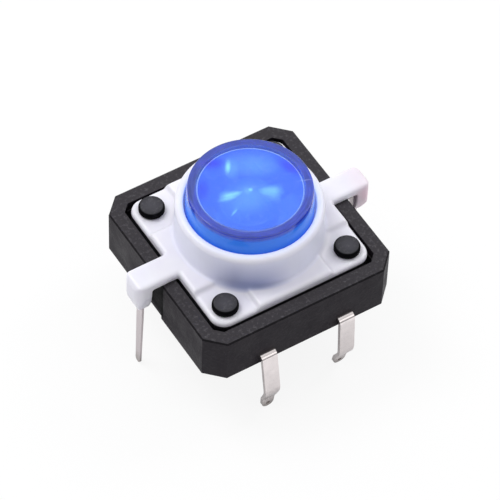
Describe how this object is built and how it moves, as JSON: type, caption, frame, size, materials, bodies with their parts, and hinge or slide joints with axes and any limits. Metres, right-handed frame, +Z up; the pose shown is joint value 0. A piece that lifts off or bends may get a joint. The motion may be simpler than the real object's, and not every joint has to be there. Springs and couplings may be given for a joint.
{
  "type": "tactile push button switch",
  "caption": "Square board-mounted tactile push button switch with a clear cap lit by a lamp in its white collar.",
  "frame": {"origin": "centre of the housing's underside, which sits on the circuit board", "axes": "+Z up along the button's travel, +X along the two arms that carry the lamp's leads, +Y towards the rear terminal legs"},
  "size_m": [0.0152, 0.0134, 0.0109],
  "materials": {
    "housing_plastic": "fine matte texture",
    "white_plastic": "smooth satin",
    "clear_blue_plastic": "polished, clear",
    "lens_resin": "polished, clear",
    "tinned_metal": "tinned, satin",
    "spring_steel": "bright",
    "chip": "polished",
    "wire": "polished"
  },
  "bodies": {
    "base": {"housing": "housing_plastic", "terminal_left": "tinned_metal", "terminal_right": "tinned_metal", "snap_dome": "spring_steel", "cover": "white_plastic", "led_lens": "lens_resin", "led_cathode_lead": "tinned_metal", "led_anode_lead": "tinned_metal", "led_chip": "chip", "led_bond_wire": "wire"},
    "button": {"button_cap": "clear_blue_plastic", "plunger": "white_plastic"}
  },
  "joints": [
    {"name": "button_press", "type": "slide", "parent": "base", "child": "button", "axis": [0, 0, -1], "range_m": [0, 0.0003], "stiffness_N_per_m": 8000, "deforming": ["snap_dome"]}
  ]
}
